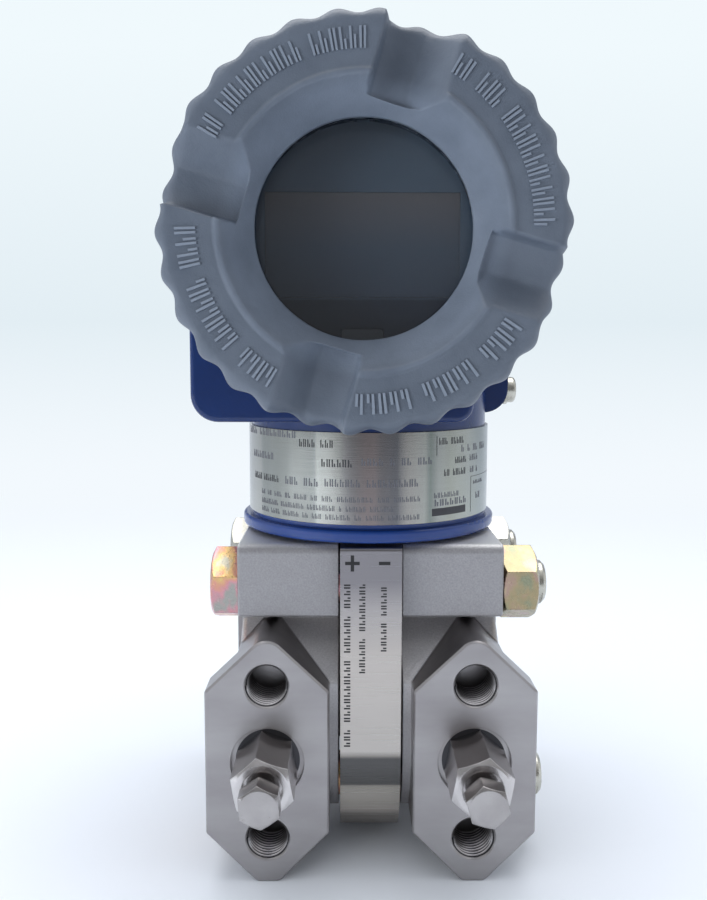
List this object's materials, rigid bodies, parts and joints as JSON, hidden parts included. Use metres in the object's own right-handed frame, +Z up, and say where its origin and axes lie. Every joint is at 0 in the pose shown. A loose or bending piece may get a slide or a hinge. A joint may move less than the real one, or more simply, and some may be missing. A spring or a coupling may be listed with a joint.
{
  "type": "differential pressure transmitter",
  "caption": "Differential pressure transmitter: steel sensor between two bolted process covers with flange pads, round painted housing on top with a windowed screw cover.",
  "frame": {"origin": "on the axis of the sensor's neck, at the height of the plane on which the flange pads rest", "axes": "+Z up along the neck, -Y towards the front with the window and the vent screws, +X to the right along the cover bolts"},
  "size_m": [0.099, 0.1223, 0.2162],
  "materials": {
    "machined_steel": "satin machined",
    "cast_steel": "bead-blasted casting, machined pads",
    "plated_steel": "zinc plated, passivated",
    "label_steel": "satin sheet",
    "blue_paint": "painted die casting, deep blue",
    "grey_paint": "painted die casting, fine texture",
    "aluminium_ring": "turned",
    "window_glass": "polished",
    "display_glass": "smooth",
    "black_plastic": "moulded",
    "grey_plastic": "moulded",
    "seal_rubber": "smooth",
    "white_gasket": "filled fluoropolymer",
    "brass_screw": "turned"
  },
  "bodies": {
    "sensor": {"sensor_body": "machined_steel", "neck_seal": "seal_rubber", "pressure_sensor": "machined_steel", "left_diaphragm": "machined_steel", "right_diaphragm": "machined_steel", "left_cover_gasket": "white_gasket", "right_cover_gasket": "white_gasket", "left_process_cover": "cast_steel", "right_process_cover": "cast_steel", "cover_bolts": "plated_steel", "cover_nuts": "plated_steel", "left_vent_plug": "machined_steel", "right_vent_plug": "machined_steel"},
    "housing": {"housing": "blue_paint", "neck_lock_screw": "plated_steel", "nameplate_band": "label_steel", "electronics_module": "black_plastic", "display_module": "black_plastic", "lcd_panel": "display_glass", "module_screws": "plated_steel", "terminal_block": "black_plastic", "terminal_screws": "plated_steel", "inner_ground_screw": "brass_screw", "ground_screw": "plated_steel", "ground_washer": "plated_steel", "conduit_plug": "plated_steel"},
    "front_cover_seal": {"front_cover_seal": "seal_rubber"},
    "front_cover": {"front_cover": "grey_paint", "window_gasket": "seal_rubber", "window_glass": "window_glass", "window_retaining_ring": "aluminium_ring"},
    "rear_cover_seal": {"rear_cover_seal": "seal_rubber"},
    "rear_cover": {"rear_cover": "grey_paint"},
    "setting_button": {"setting_button": "grey_plastic"},
    "left_vent_screw": {"left_vent_screw": "machined_steel"},
    "right_vent_screw": {"right_vent_screw": "machined_steel"}
  },
  "joints": [
    {"name": "housing_turn", "type": "hinge", "parent": "sensor", "child": "housing", "pos_m": [0, 0, 0.1], "axis": [0, 0, 1], "range_deg": [-180, 180]},
    {"name": "front_cover_travel", "type": "slide", "parent": "housing", "child": "front_cover_seal", "axis": [0, -1, 0], "range_m": [0, 0.0101]},
    {"name": "front_cover_turn", "type": "hinge", "parent": "front_cover_seal", "child": "front_cover", "pos_m": [-0.0024, -0.0395, 0.1676], "axis": [0, -1, 0], "range_deg": [0, 1800]},
    {"name": "rear_cover_travel", "type": "slide", "parent": "housing", "child": "rear_cover_seal", "axis": [0, 1, 0], "range_m": [0, 0.0101]},
    {"name": "rear_cover_turn", "type": "hinge", "parent": "rear_cover_seal", "child": "rear_cover", "pos_m": [-0.0024, 0.0395, 0.1676], "axis": [0, 1, 0], "range_deg": [0, 1800]},
    {"name": "setting_button_press", "type": "slide", "parent": "housing", "child": "setting_button", "axis": [0, 1, 0], "range_m": [0, 0.001], "stiffness_N_per_m": 300},
    {"name": "left_vent_screw_turn", "type": "hinge", "parent": "sensor", "child": "left_vent_screw", "pos_m": [-0.027, -0.05, 0.0325], "axis": [0, -1, 0], "range_deg": [0, 720]},
    {"name": "right_vent_screw_turn", "type": "hinge", "parent": "sensor", "child": "right_vent_screw", "pos_m": [0.027, -0.05, 0.0325], "axis": [0, -1, 0], "range_deg": [0, 720]}
  ],
  "couplings": [
    {"joint": "front_cover_travel", "follows": "front_cover_turn", "m_per_rad": 0.00031831},
    {"joint": "rear_cover_travel", "follows": "rear_cover_turn", "m_per_rad": 0.00031831}
  ]
}
